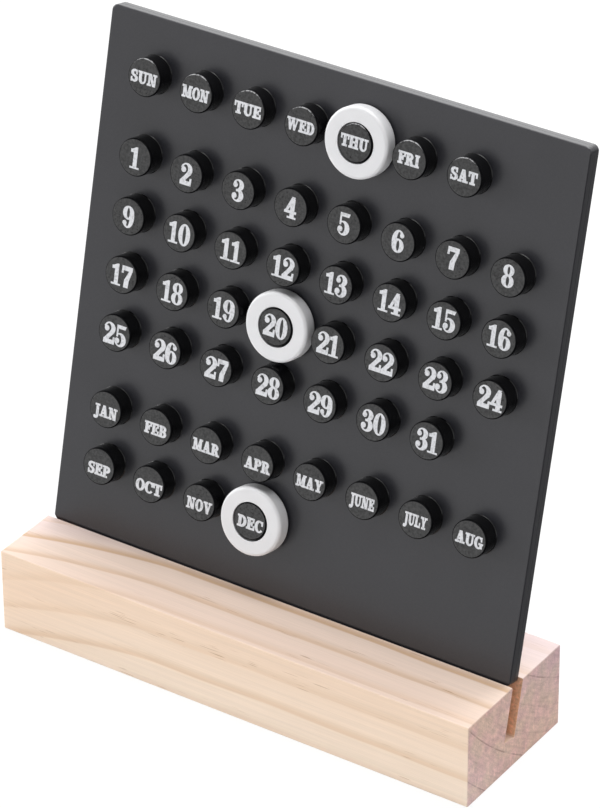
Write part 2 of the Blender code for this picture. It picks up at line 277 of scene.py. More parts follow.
class CalendarSizes(PropertyGroup):
    """Lengths of the calendar's pieces."""

    block_ease: length("Block edge", 0.45 * MM, "Rounding of the sanded edges of the pine block")
    slot_front: length("Slot front", 0.25 * MM, "From the board's face forward to the slot's front wall")
    slot_back: length("Slot back", 5.7 * MM, "From the board's face back to the slot's rear wall")
    slot_depth: length("Slot depth", 19.2 * MM, "Depth of the saw slot, measured down the board's face")
    slot_ease: length("Slot edge", 0.15 * MM, "Broken edge along the saw slot")
    board_corner: length("Board corner", 2.1 * MM, "Radius of the board's corners")
    board_ease: length("Board edge", 0.5 * MM, "Rounding round the board's face and back")
    shoulder: length("Shoulder", 0.8 * MM, "From the block's top down to the board's shoulders in the slot")
    tongue_inset: length("Tongue inset", 10 * MM, "From the board's sides to the tongue in the slot")
    tongue_corner: length("Tongue corner", 2 * MM, "Radius of the tongue's lower corners")
    tongue_root: length("Tongue root", 1.5 * MM, "Radius where the tongue meets the shoulders")
    rebate: length("Foot rebate", 0.7 * MM, "Height above the block where the board's foot steps back")
    rebate_depth: length("Rebate depth", 0.6 * MM, "How far the board's foot steps back behind its face")
    rebate_ease: length("Rebate edge", 0.2 * MM, "Rounding of the lower edge of the board's face")
    parting: length("Parting line", 0.07 * MM, "Half width and depth of the groove round the board's edge")
    peg: length("Peg", PEG_HIGH.x - PEG_LOW.x, "Diameter of a peg")
    peg_rim: length("Peg rim", 0.5 * MM, "Rounding of the rim of a peg's face")
    peg_foot: length("Peg foot", 0.2 * MM, "Small flare where a peg meets the board")
    spigot: length("Spigot", 6 * MM, "Diameter of the stem that holds a peg in the board")
    socket: length("Socket", 6.6 * MM, "Diameter of the socket for a peg's stem")
    socket_depth: length("Socket depth", 3.4 * MM, "Depth of the socket for a peg's stem")
    ring: length("Ring", 23.3 * MM, "Outside diameter of a marker ring")
    hole: length("Ring hole", 13.2 * MM, "Diameter of the hole in a marker ring")
    ring_round: length("Ring face edge", 1.1 * MM, "Rounding of a ring's outer edge, on its face")
    ring_foot: length("Ring foot edge", 1.4 * MM, "Rounding of a ring's outer edge, against the board")
    ring_hole_ease: length("Ring hole edge", 0.2 * MM, "Rounding of the edges of a ring's hole")
    numeral: length("Numeral height", 7.3 * MM, "Height of the printed dates")
    capital: length("Capital height", 4.1 * MM, "Height of the printed days and months")
    ink: length("Ink", 0.06 * MM, "How far the print stands off a peg's face")
    print_up: length("Print lift", 0.2 * MM, "How far the whole print lies above the pegs' centres")
    print_turn: FloatProperty(name="Print turn", description="How far the print is turned on the board",
                              default=math.radians(0.26), subtype="ANGLE")


class CalendarColours(PropertyGroup):
    """Colours of the calendar's finishes."""

    pithwood: colour("Pith wood", "#E1CBC1", "Pinkish early wood of the pine, nearest the pith")
    heartwood: colour("Heartwood", "#EAD1BA", "Warm early wood of the pine, in the middle of the block")
    midwood: colour("Middle wood", "#ECD1B9", "Warm early wood of the pine, along the block's front edge")
    sapwood: colour("Sapwood", "#F3E0CD", "Pale early wood of the pine, far from the pith")
    latewood: colour("Latewood", "#D3AC84", "Darker line at the end of each year's growth")
    # The slot's colour is partly saw scorch, partly painted shade and warm bounce light inside the slot.
    sawn: colour("Sawn slot", "#E0A985", "Wood scorched a little by the saw, in the slot")
    board: colour("Board", "#212126", "Black plastic of the board")
    peg: colour("Peg", "#0B0B0D", "Black plastic of the pegs")
    ring: colour("Ring", "#E0E0E2", "White plastic of the marker rings")
    ink: colour("Ink", "#D6D7DB", "White printing ink")
    floor: colour("Floor", "#F6F6F6", "Pale studio floor")


class CalendarSettings(PropertyGroup):
    """All that can be changed before the calendar is made."""

    sizes: PointerProperty(name="Sizes", description="Lengths of the pieces", type=CalendarSizes)
    colours: PointerProperty(name="Colours", description="Colours of the finishes", type=CalendarColours)


def begin(kind, **options):
    """Add a primitive with nothing else selected, and open it in edit mode."""
    bpy.ops.object.select_all(action="DESELECT")
    getattr(bpy.ops.mesh, f"primitive_{kind}_add")(**options)
    bpy.ops.object.mode_set(mode="EDIT")
    return bpy.context.object


def begin_box(low, high):
    """Add a box between two corners, and open it in edit mode."""
    box = begin("cube", size=1)
    resize(*(Vector(high) - Vector(low)))
    shift(*(Vector(high) + Vector(low)) / 2)
    return box


def pick(piece, domain, test):
    """Select, in edit mode, the vertices, edges or faces that pass a test."""
    bpy.ops.mesh.select_mode(type=domain)
    bpy.ops.mesh.select_all(action="DESELECT")
    form = bmesh.from_edit_mesh(piece.data)
    form.normal_update()
    for part in {"VERT": form.verts, "EDGE": form.edges, "FACE": form.faces}[domain]:
        if test(part):
            part.select_set(True)
    form.select_flush_mode()
    bmesh.update_edit_mesh(piece.data)


def resize(x, y, z, about=(0, 0, 0)):
    """Scale what is selected about a point."""
    bpy.ops.transform.resize(value=(x, y, z), center_override=about)


def shift(x, y, z):
    """Move what is selected."""
    bpy.ops.transform.translate(value=(x, y, z))


def extrude(x, y, z):
    """Draw out the selected faces."""
    bpy.ops.mesh.extrude_region_move(TRANSFORM_OT_translate={"value": (x, y, z)})


def ease(radius, steps):
    """Round off the selected edges."""
    bpy.ops.mesh.bevel(offset=radius, segments=steps, affect="EDGES", clamp_overlap=False)


def score(place, normal):
    """Cut new edges all round the open piece, along a plane."""
    bpy.ops.mesh.select_all(action="SELECT")
    bpy.ops.mesh.bisect(plane_co=place, plane_no=normal)


def middle(edge):
    """Give an edge's midpoint."""
    return (edge.verts[0].co + edge.verts[1].co) / 2


def run(edge):
    """Give an edge's direction."""
    return (edge.verts[1].co - edge.verts[0].co).normalized()


def close_to(value, target, within=0.01 * MM):
    """Tell whether two lengths agree."""
    return abs(value - target) < within


def close(piece):
    """Leave edit mode with the piece's faces turned outwards."""
    bpy.ops.mesh.select_all(action="SELECT")
    bpy.ops.mesh.normals_make_consistent(inside=False)
    bpy.ops.object.mode_set(mode="OBJECT")
    return piece


def select(*pieces):
    """Select these pieces alone, with the first one active."""
    bpy.ops.object.select_all(action="DESELECT")
    for piece in pieces:
        piece.select_set(True)
    bpy.context.view_layer.objects.active = pieces[0]


def use_modifier(piece, kind, **settings):
    """Add a modifier to a piece and apply it."""
    select(piece)
    modifier = piece.modifiers.new(kind.lower(), kind)
    for name, value in settings.items():
        setattr(modifier, name, value)
    bpy.ops.object.modifier_apply(modifier=modifier.name)


def combine(piece, tool, operation, solver="EXACT"):
    """Weld a tool to a piece or cut it away from it, and remove the tool."""
    use_modifier(piece, "BOOLEAN", operation=operation, solver=solver, object=tool)
    bpy.data.objects.remove(tool)


def fix_place(piece, place):
    """Put a piece where a matrix says, with that place kept in its mesh."""
    select(piece)
    piece.matrix_world = place
    bpy.ops.object.transform_apply(location=True, rotation=True, scale=True)


def shade(piece, angle=40):
    """Shade a piece smooth over its rounded edges and flat on its broad faces."""
    select(piece)
    bpy.ops.object.shade_smooth_by_angle(angle=math.radians(angle))
    use_modifier(piece, "WEIGHTED_NORMAL", keep_sharp=True, weight=100)


def copy_of(piece, name):
    """Copy a piece, mesh and all."""
    copy = piece.copy()
    copy.data = piece.data.copy()
    copy.name = name
    copy.data.name = name
    bpy.context.scene.collection.objects.link(copy)
    return copy


def finish_piece(piece, name, body, material, slot, *nodes):
    """Name a piece, finish it and set it on its body, in place of the CAD nodes that it stands for."""
    piece.name = name
    piece.data.name = name
    piece.data.materials.clear()
    piece.data.materials.append(material)
    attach(piece, body)
    if nodes:
        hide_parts(*nodes)


def new_finish(name):
    """Make a material with a bare Principled shader, and what adds its other nodes."""
    material = bpy.data.materials.new(name)
    material.use_nodes = True
    tree = material.node_tree
    return material, tree.nodes["Principled BSDF"], partial(add_node, tree)


def fill(node, inputs):
    """Give each named or numbered input of a node its value, or its link from another node."""
    for key, value in inputs.items():
        if isinstance(value, NodeSocket):
            node.id_data.links.new(value, node.inputs[key])
        else:
            node.inputs[key].default_value = value


def add_node(tree, kind, *inputs, output=None, stops=(), **settings):
    """Add a node with its settings, fill the inputs that it shows, in order, and give its first output or
    the one that is named."""
    node = tree.nodes.new("ShaderNode" + kind)
    for name, value in settings.items():
        setattr(node, name, value)
    if stops:
        marks = node.color_ramp.elements
        while len(marks) < len(stops):
            marks.new(0.5)
        for mark, (position, rgb) in zip(marks, stops):
            mark.position = position
            mark.color = (*rgb, 1.0)
    shown = [index for index, socket in enumerate(node.inputs) if socket.enabled]
    fill(node, dict(zip(shown, inputs)))
    return node.outputs[output] if output else next(socket for socket in node.outputs if socket.enabled)


def pine_years(add, mm, waver):
    """Count the pine's years from the pith, which ran along the block, above it and behind it. So the ends
    show arcs, and the sides show long lines that bend away towards the left end."""
    waver = add("MapRange", waver, 0.0, 1.0, -2.2, 2.2)
    swell = add("SeparateXYZ", mm, output="X")
    swell = add("MapRange", swell, -28.0, -92.0)
    swell = add("Math", swell, 1.9, operation="POWER")
    swell = add("Math", swell, 8.0, operation="MULTIPLY")
    across = add("VectorMath", mm, (0, 1, 1), (0, -PITH_Y, -PITH_Z), operation="MULTIPLY_ADD")
    radius = add("VectorMath", across, operation="LENGTH")
    radius = add("Math", radius, swell, operation="SUBTRACT")
    radius = add("Math", radius, waver, operation="ADD")
    years = add("Math", radius, FIRST_RING, operation="SUBTRACT")
    years = add("Math", years, YEAR_WIDTH, operation="DIVIDE")
    return swell, across, radius, years


def pine_along(add, colours, mm, noise, radius, years, pale, topmost):
    """Colour the pine along its grain: late wood, fibres, streaks and resin ducts."""
    # Late wood darkens slowly through the year and stops short, where the next spring's wood starts.
    season = add("Math", years, operation="FRACT")
    late = add("MapRange", season, 0.52, 0.92, interpolation_type="SMOOTHSTEP")
    late = add("Math", late, 1.6, operation="POWER")
    spring = add("MapRange", season, 0.93, 1.0, 1.0, 0.0, interpolation_type="SMOOTHSTEP")
    vigour = add("Math", years, operation="FLOOR")
    vigour = add("Math", vigour, GROWTH_DRAW, operation="ADD")
    vigour = add("TexWhiteNoise", vigour, noise_dimensions="1D")
    vigour = add("MapRange", vigour, 0.0, 1.0, 0.3, 1.0)
    young = add("MapRange", radius, 97.0, 100.5, 0.35, 1.0)
    amount = add("MapRange", topmost, 0.0, 1.0, 0.52, 0.8)
    for share in (spring, vigour, young, amount):
        late = add("Math", late, share, operation="MULTIPLY")
    wood = add("Mix", late, pale, (*colours.latewood, 1), data_type="RGBA")

    for name, *span in (("fibre", 0.25, 0.75, 0.955, 1.04), ("streak", 0.3, 0.7, 0.965, 1.025)):
        tone = add("MapRange", noise[name], *span)
        wood = add("VectorMath", wood, tone, operation="SCALE")

    # Resin ducts are dark dashes in the later wood, in patches that are moved to lie as in the photo.
    duct = add("MapRange", noise["duct"], 0.72, 0.80)
    patch = add("VectorMath", mm, (117.8, 3.6, 0), operation="ADD")
    patch = add("VectorMath", patch, (38, 9, 9), operation="DIVIDE")
    patch = add("TexNoise", patch, 1.0, 1.0)
    patch = add("MapRange", patch, 0.50, 0.60, 0.0, 0.6)
    autumn = add("MapRange", season, 0.45, 0.65)
    for share in (patch, autumn):
        duct = add("Math", duct, share, operation="MULTIPLY")
    return add("Mix", duct, wood, (*linear("#A47648"), 1), data_type="RGBA")


def pine_end(add, mm, noise, across, radius, years, pale):
    """Colour the pine's end grain, which soaks up light: darker and pinker, mottled by open pores, with pale
    strokes where the saw tore the fibres, partly painted highlight on them, a few thin dark rings, and
    painted bounce light that makes it paler towards its foot."""
    wood = add("VectorMath", pale, (0.745, 0.657, 0.73), operation="MULTIPLY")
    tints = ((0.35, (0.985, 1.03, 0.98)), (0.65, (1.015, 0.97, 1.025)))
    tint = add("ValToRGB", noise["tint"], stops=tints)
    wood = add("VectorMath", wood, tint, operation="MULTIPLY")

    # The middle rings lie up to 2.6 mm further out than even growth would put them.
    bulge = add("MapRange", radius, FIRST_RING, LAST_RING, 0.0, math.pi)
    bulge = add("Math", bulge, operation="SINE")
    years = add("Math", bulge, -2.6 / YEAR_WIDTH, years, operation="MULTIPLY_ADD")
    season = add("Math", years, operation="FRACT")
    line = add("MapRange", season, 0.89, 0.96, interpolation_type="SMOOTHSTEP")
    stop = add("MapRange", season, 0.962, 1.0, 1.0, 0.0, interpolation_type="SMOOTHSTEP")
    bold = add("Math", years, operation="FLOOR")
    bold = add("Math", bold, RING_DRAW, operation="ADD")
    bold = add("TexWhiteNoise", bold, noise_dimensions="1D")
    bold = add("MapRange", bold, 0.5, 0.9, 0.16, 0.5)
    broken = add("MapRange", noise["broken"], 0.38, 0.58, 0.25, 1.15)
    for share in (stop, bold, broken):
        line = add("Math", line, share, operation="MULTIPLY")
    wood = add("Mix", line, wood, (*linear("#7C5A58"), 1), data_type="RGBA")

    # Bands follow the rings: 0.9 mm wide, and 6 mm long on a ring of 110 mm radius.
    arms = [add("SeparateXYZ", across, output=axis) for axis in "YZ"]
    arc = add("Math", *arms, operation="ARCTAN2")
    arc = add("Math", arc, 110.0, operation="MULTIPLY")
    band = add("CombineXYZ", radius, arc)
    band = add("VectorMath", band, (0.9, 6, 0), operation="DIVIDE")
    band = add("TexNoise", band, 1.0, 2.0)
    height = add("SeparateXYZ", mm, output="Z")
    tones = (
        (noise["pores"], 0.3, 0.7, 0.85, 1.14),
        (noise["mottle"], 0.3, 0.7, 0.87, 1.13),
        # Pale strokes where the saw tore the fibres, partly painted highlight on them.
        (noise["stroke"], 0.6, 0.75, 1.0, 1.22),
        (band, 0.3, 0.7, 0.9, 1.1),
        # Painted bounce light from the floor: up to 7% paler towards the foot.
        (height, 0.0, 14.0, 1.07, 1.0),
    )
    for pattern, *span in tones:
        tone = add("MapRange", pattern, *span)
        wood = add("VectorMath", wood, tone, operation="SCALE")
    return wood


def pine_slot(add, sizes, place):
    """Find the walls that the saw cut in the slot, which lie between its two planes and above its floor."""
    centre = FACE_ORIGIN.dot(OUT) + (sizes.slot_front - sizes.slot_back) / 2
    half = (sizes.slot_front + sizes.slot_back) / 2
    depth = add("VectorMath", place, OUT, operation="DOT_PRODUCT")
    depth = add("Math", depth, centre, operation="SUBTRACT")
    depth = add("Math", depth, operation="ABSOLUTE")
    between = add("MapRange", depth, half + 0.01 * MM, half + 0.05 * MM, 1.0, 0.0)
    floor = FACE_ORIGIN.dot(UP) - sizes.slot_depth
    rise = add("VectorMath", place, UP, operation="DOT_PRODUCT")
    above = add("MapRange", rise, floor + 0.2 * MM, floor + 1.1 * MM)
    return add("Math", between, above, operation="MULTIPLY")


def pine_finish(colours, sizes):
    """Radiata pine, planed and sanded: wide pale rings with thin warm late wood, matt and unsealed."""
    material, shader, add = new_finish("pine_planed")
    place = add("TexCoord", output="Object")
    mm = add("VectorMath", place, 1 / MM, operation="SCALE")
    noise = {}
    for name, (patch, detail, roughness) in PINE_PATTERNS.items():
        cells = add("VectorMath", mm, patch, operation="DIVIDE")
        noise[name] = add("TexNoise", cells, 1.0, detail, roughness)
    swell, across, radius, years = pine_years(add, mm, noise["waver"])

    # Early wood grows paler with the tree's age; the pale sapwood stop also makes the front paler towards its
    # foot, partly real sapwood and partly painted bounce light from the floor.
    age = add("Math", swell, -0.6, radius, operation="MULTIPLY_ADD")
    age = add("MapRange", age, 88.0, 141.0)
    woods = (colours.pithwood, colours.heartwood, colours.midwood, colours.sapwood)
    pale = add("ValToRGB", age, stops=tuple(zip((0.0, 0.34, 0.62, 1.0), woods)))
    facing = add("NewGeometry", output="True Normal")
    topmost = add("SeparateXYZ", facing, output="Z")
    topmost = add("MapRange", topmost, 0.6, 0.9)
    # Top faces are painted paler and bluer: painted light and sheen from the lamps above.
    pale = add("Mix", topmost, pale, (1.072, 1.099, 1.205, 1), data_type="RGBA", blend_type="MULTIPLY")

    end = add("SeparateXYZ", facing, output="X")
    end = add("Math", end, operation="ABSOLUTE")
    end = add("MapRange", end, 0.5, 0.85, interpolation_type="SMOOTHSTEP")
    along = pine_along(add, colours, mm, noise, radius, years, pale, topmost)
    endwise = pine_end(add, mm, noise, across, radius, years, pale)
    wood = add("Mix", end, along, endwise, data_type="RGBA")

    # The slot's walls are warm, darker and rough: partly scorched by the saw, partly painted shade and warm
    # bounce light inside the slot.
    side = add("Math", 0.85, end, operation="SUBTRACT")
    scorch_and_shade_mask = add("Math", pine_slot(add, sizes, place), side, operation="MULTIPLY", use_clamp=True)
    torn = add("MapRange", noise["torn"], 0.3, 0.7, 0.68, 1.34)
    sawn = add("VectorMath", colours.sawn, torn, operation="SCALE")
    wood = add("Mix", scorch_and_shade_mask, wood, sawn, data_type="RGBA")

    rough = add("MapRange", noise["fibre"], 0.2, 0.8, 0.66, 0.56)
    grain = add("Bump", 0.25, 0.05 * MM, BUMP_FILTER, noise["fibre"])
    fill(shader, {"Base Color": wood, "Roughness": rough, "IOR": 1.45, "Normal": grain})
    return material


def black_finish(name, rgb, ior, rough, grit, relief, fleck, face=None):
    """ABS dyed black and moulded against a finely etched tool: matt, with a faint cloud in the sheen and a
    fine grit. A peg, which has a face height, is etched on its face alone, and the days' pegs get a painted
    highlight along their upper rims."""
    material, shader, add = new_finish(name)
    place = add("TexCoord", output="Object")
    cloud = add("TexNoise", place, 1 / (22 * MM), 3.0, 0.55)
    specks = add("TexNoise", place, 1 / grit, 2.0, 0.6)
    dark, pale = [[share * value for value in rgb] for share in (0.86, 1.14)]
    tone = add("Mix", cloud, (*dark, 1), (*pale, 1), data_type="RGBA")
    both = add("Math", cloud, specks, operation="ADD")
    sheen = add("MapRange", both, 0.7, 1.3, *rough)
    gloss = add("MapRange", specks, 0.3, 0.7, 0.5 - fleck, 0.5 + fleck)
    if face is not None:
        # Below its etched face a peg came off the smooth wall of the tool: deep black, with thin highlights.
        rise = add("VectorMath", place, OUT, operation="DOT_PRODUCT")
        etched = add("MapRange", rise, face - 0.03 * MM, face - 0.005 * MM)
        sheen = add("Mix", etched, 0.2, sheen, data_type="FLOAT")
        rim = add("MapRange", rise, face - 0.7 * MM, face - 0.45 * MM, 0.2, 0.02)
        gloss = add("Mix", etched, rim, gloss, data_type="FLOAT")
        # The days' upper rims get a painted highlight: pale grey painted into the black.
        rim_highlight_mask = rubbed_rim(add, place, rise, specks, face)
        tone = add("Mix", rim_highlight_mask, tone, (*linear("#A8A8AA"), 1), data_type="RGBA")
    bump = add("Bump", 0.35, relief, BUMP_FILTER, specks)
    fill(shader, {"Base Color": tone, "Roughness": sheen, "IOR": ior, "Specular IOR Level": gloss,
                  "Normal": bump})
    return material


def rubbed_rim(add, place, rise, specks, face):
    """Find where a highlight is painted on the days' rims, along their upper side."""
    facing = add("NewGeometry", output="Normal")
    rim_highlight_mask = add("VectorMath", facing, UP, operation="DOT_PRODUCT")
    rim_highlight_mask = add("MapRange", rim_highlight_mask, 0.2, 0.45)
    edge = add("MapRange", rise, face - 0.42 * MM, face - 0.25 * MM)
    row = add("VectorMath", place, UP, operation="DOT_PRODUCT")
    row = add("MapRange", row, RIM_HIGHLIGHT_FROM, RIM_HIGHLIGHT_FROM + MM)
    sector = add("VectorMath", facing, ALONG, operation="DOT_PRODUCT")
    sector = add("Math", sector, operation="ABSOLUTE")
    sector = add("MapRange", sector, 0.25, 0.45, 1.0, 0.0)
    uneven = add("MapRange", specks, 0.4, 0.55, 0.25, 1.0)
    for share in (edge, row, sector, uneven):
        rim_highlight_mask = add("Math", rim_highlight_mask, share, operation="MULTIPLY")
    return rim_highlight_mask


def white_finish(colours):
    """ABS dyed white, moulded in a polished tool: a soft sheen, a trace of flow marks, hardly any grit."""
    material, shader, add = new_finish("ring_abs_white")
    place = add("TexCoord", output="Object")
    flow = add("TexNoise", place, 1 / (6 * MM), 2.0)
    dull = [0.955 * value for value in colours.ring]
    tone = add("Mix", flow, (*dull, 1), (*colours.ring, 1), data_type="RGBA")
    rough = add("MapRange", flow, 0.3, 0.7, 0.32, 0.44)
    specks = add("TexNoise", place, 1 / (0.5 * MM), 1.0)
    bump = add("Bump", 0.12, 0.02 * MM, BUMP_FILTER, specks)
    fill(shader, {"Base Color": tone, "Roughness": rough, "IOR": 1.5, "Normal": bump})
    return material


def ink_finish(colours):
    """White pad-printing ink: flat and a little patchy, thin enough for the black to grey it in places."""
    material, shader, add = new_finish("pad_print_white")
    place = add("TexCoord", output="Object")
    patches = add("TexNoise", place, 1 / (0.9 * MM), 2.0)
    cover = add("MapRange", patches, 0.3, 0.5)
    thin = [0.72 * value for value in colours.ink]
    tone = add("Mix", cover, (*thin, 1), (*colours.ink, 1), data_type="RGBA")
    rough = add("MapRange", patches, 0.3, 0.7, 0.62, 0.5)
    fill(shader, {"Base Color": tone, "Roughness": rough, "IOR": 1.48})
    return material


class CALENDAR_OT_block(Operator):
    """Model the pine block with its leaning saw slot"""

    bl_idname = "calendar.block"
    bl_label = "Pine block"

    def execute(self, context):
        sizes = context.scene.calendar.sizes
        block = begin_box(BASE_LOW, BASE_HIGH)
        ease(sizes.block_ease, 3)
        close(block)

        reach = (BASE_HIGH.x - BASE_LOW.x) / 2 + PAST
        saw = begin_box((-reach, -sizes.slot_depth, -sizes.slot_back), (reach, PAST, sizes.slot_front))
        close(saw)
        saw.matrix_world = FACE
        combine(block, saw, "DIFFERENCE")
        use_modifier(block, "BEVEL", width=sizes.slot_ease, segments=2, limit_method="ANGLE",
                     angle_limit=math.radians(55))
        shade(block)
        material = pine_finish(context.scene.calendar.colours, sizes)
        finish_piece(block, "pine_block", "base", material, "pine", "pine_base")
        return {"FINISHED"}


class CALENDAR_OT_board(Operator):
    """Model the moulded board with its tongue and the pegs' sockets"""

    bl_idname = "calendar.board"
    bl_label = "Board"

    def execute(self, context):
        sizes = context.scene.calendar.sizes
        low, high = on_board("board")
        tongue = high.x - sizes.tongue_inset
        board = begin_box((low.x, -sizes.shoulder, low.z), high)
        for side in (-tongue, tongue):
            score((side, 0, 0), (1, 0, 0))
        pick(board, "FACE", lambda face: face.normal.y < -ALIGNED
             and abs(face.calc_center_median().x) < tongue)
        extrude(0, low.y + sizes.shoulder, 0)
        bpy.ops.mesh.select_all(action="SELECT")
        bpy.ops.mesh.dissolve_limited(angle_limit=math.radians(1))

        corners = (
            (high.x, None, sizes.board_corner, 9),
            (tongue, low.y, sizes.tongue_corner, 6),
            (tongue, -sizes.shoulder, sizes.tongue_root, 6),
        )
        for x, y, radius, steps in corners:
            pick(board, "EDGE", lambda edge: abs(run(edge).z) > ALIGNED and close_to(abs(middle(edge).x), x)
                 and (y is None or close_to(middle(edge).y, y)))
            ease(radius, steps)
        pick(board, "EDGE", lambda edge: sum(abs(face.normal.z) > ALIGNED for face in edge.link_faces) == 1)
        ease(sizes.board_ease, 3)

        # The parting line is a fine groove round the middle of the edge.
        half = (high.z + low.z) / 2
        score((0, 0, half), (0, 0, 1))
        pick(board, "EDGE", lambda edge: all(close_to(vertex.co.z, half) for vertex in edge.verts))
        ease(sizes.parting, 2)
        pick(board, "VERT", lambda vertex: close_to(vertex.co.z, half))
        bpy.ops.transform.shrink_fatten(value=-sizes.parting)
        close(board)

        # The foot steps back behind the face, which leaves a dark line along the block.
        step = begin_box((low.x - PAST, low.y - PAST, high.z - sizes.rebate_depth),
                         (high.x + PAST, sizes.rebate, high.z + PAST))
        close(step)
        combine(board, step, "DIFFERENCE")
        bpy.ops.object.mode_set(mode="EDIT")
        pick(board, "EDGE", lambda edge: all(
            close_to(end.co.y, sizes.rebate) and close_to(end.co.z, high.z) for end in edge.verts))
        ease(sizes.rebate_ease, 3)
        close(board)

        socket = {"vertices": 32, "radius": sizes.socket / 2, "depth": 2 * sizes.socket_depth}
        first, *others = [peg_centre(node) for node in PEGS]
        drill = begin("cylinder", location=first, **socket)
        for place in others:
            bpy.ops.mesh.primitive_cylinder_add(location=place, **socket)
        close(drill)
        combine(board, drill, "DIFFERENCE")
        fix_place(board, FACE)
        shade(board)
        material = black_finish("board_abs_black", context.scene.calendar.colours.board, ior=1.56,
                                rough=(0.28, 0.34), grit=0.5 * MM, relief=0.006 * MM, fleck=0.03)
        finish_piece(board, "moulded_board", "board", material, "board_plastic", "board")
        return {"FINISHED"}


class CALENDAR_OT_pegs(Operator):
    """Model one peg and set a copy at each day, date and month"""

    bl_idname = "calendar.pegs"
    bl_label = "Pegs"

    def execute(self, context):
        sizes = context.scene.calendar.sizes
        radius = sizes.peg / 2
        foot = 0.02 * MM  # clear of the board's face
        height = PEG_HIGH.z - foot
        peg = begin("cylinder", vertices=64, radius=radius, depth=height)
        shift(0, 0, foot + height / 2)
        pick(peg, "EDGE", lambda edge: all(close_to(vertex.co.z, PEG_HIGH.z) for vertex in edge.verts))
        ease(sizes.peg_rim, 4)

        # The foot flares out, slowly and then fast.
        top, bend = foot + sizes.peg_foot, foot + 0.35 * sizes.peg_foot
        for level in (top, bend):
            score((0, 0, level), (0, 0, 1))
        for level, flare in ((bend, 0.3 * sizes.peg_foot), (foot, sizes.peg_foot)):
            pick(peg, "VERT", lambda vertex: close_to(vertex.co.z, level))
            spread = (radius + flare) / radius
            resize(spread, spread, 1)
        pick(peg, "FACE", lambda face: face.normal.z < -ALIGNED)
        bpy.ops.mesh.inset(thickness=radius + sizes.peg_foot - sizes.spigot / 2)
        extrude(0, 0, PEG_LOW.z - foot)
        close(peg)
        shade(peg)
        material = black_finish("peg_abs_black", context.scene.calendar.colours.peg, ior=1.6,
                                rough=(0.27, 0.35), grit=0.8 * MM, relief=0.05 * MM, fleck=0.16,
                                face=FACE_ORIGIN.dot(OUT) + PEG_HIGH.z)
        for node in PEGS:
            piece = copy_of(peg, "moulded_" + node)
            fix_place(piece, FACE @ Matrix.Translation(peg_centre(node)))
            finish_piece(piece, "moulded_" + node, "board", material, "peg_plastic", node)
        bpy.data.objects.remove(peg)
        return {"FINISHED"}


class CALENDAR_OT_rings(Operator):
    """Model one marker ring and set a copy over the day, the date and the month"""

    bl_idname = "calendar.rings"
    bl_label = "Marker rings"

    def execute(self, context):
        sizes = context.scene.calendar.sizes
        outside, hole = sizes.ring / 2, sizes.hole / 2
        foot, face = 0.1 * MM, RING_TOP
        ring = begin("cylinder", vertices=96, radius=outside, depth=face - foot)
        shift(0, 0, (face + foot) / 2)
        pick(ring, "FACE", lambda part: abs(part.normal.z) > ALIGNED)
        bpy.ops.mesh.inset(thickness=outside - hole)
        bpy.ops.mesh.delete(type="FACE")
        pick(ring, "EDGE", lambda edge: edge.is_boundary)
        bpy.ops.mesh.bridge_edge_loops()
        rounds = (
            (outside, face, sizes.ring_round, 8),
            (outside, foot, sizes.ring_foot, 6),
            (hole, face, sizes.ring_hole_ease, 3),
            (hole, foot, sizes.ring_hole_ease, 3),
        )
        for radius, level, rounding, steps in rounds:
            pick(ring, "EDGE", lambda edge: all(
                close_to(end.co.z, level) and close_to(end.co.xy.length, radius) for end in edge.verts))
            ease(rounding, steps)
        close(ring)
        shade(ring)
        material = white_finish(context.scene.calendar.colours)
        for node, (rise, reach) in RINGS.items():
            piece = copy_of(ring, "white_" + node)
            fix_place(piece, FACE @ Matrix.Translation(peg_centre(node) + Vector((0, rise, reach)) * MM))
            finish_piece(piece, "white_" + node, node, material, "white_plastic", node)
        bpy.data.objects.remove(ring)
        return {"FINISHED"}


def slope_stroke(weight, low, left, right, high, top_left, top_right):
    """Shape a straight stroke, with level ends."""
    foot, head = right - left + 2 * weight, top_right - top_left + 2 * weight
    stroke = begin("plane", size=1)
    resize(foot, high - low + 2 * weight, 1)
    shift((left + right) / 2, (low + high) / 2, 0)
    pick(stroke, "VERT", lambda vertex: vertex.co.y > (low + high) / 2)
    resize(head / foot, 1, 1, about=((left + right) / 2, high, 0))
    shift((top_left + top_right - left - right) / 2, 0, 0)
    return stroke


def bar_stroke(weight, left, right, low, high):
    """Shape an upright or level stroke."""
    return slope_stroke(weight, low, left, right, high, left, right)


def bowl_stroke(weight, x, y, half_width, half_height, left, right, cap, start, end):
    """Shape a curved stroke: the band between two ovals, from one angle to another."""
    stroke = begin("circle", vertices=BOWL_STEPS, radius=1, fill_type="NOTHING")
    resize(half_width + weight, half_height + weight, 1)
    bpy.ops.mesh.select_all(action="DESELECT")
    bpy.ops.mesh.primitive_circle_add(vertices=BOWL_STEPS, radius=1, fill_type="NOTHING")
    resize(half_width - (left + right) / 2 - weight, half_height - cap - weight, 1)
    shift((left - right) / 2, 0, 0)
    bpy.ops.mesh.select_all(action="SELECT")
    bpy.ops.mesh.bridge_edge_loops()

    def outside(face):
        place = face.calc_center_median()
        turn = math.degrees(math.atan2(place.y / half_height, place.x / half_width))
        return (turn - start) % 360 > end - start

    if end - start < 360:
        pick(stroke, "FACE", outside)
        bpy.ops.mesh.delete(type="FACE")
    bpy.ops.mesh.select_all(action="SELECT")
    shift(x, y, 0)
    return stroke


def dot_stroke(weight, x, y, radius):
    """Shape a round end."""
    stroke = begin("circle", vertices=DOT_STEPS, radius=radius + weight, fill_type="NGON")
    shift(x, y, 0)
    return stroke


STROKES = {3: dot_stroke, 4: bar_stroke, 6: slope_stroke, 9: bowl_stroke}  # by how many numbers they have


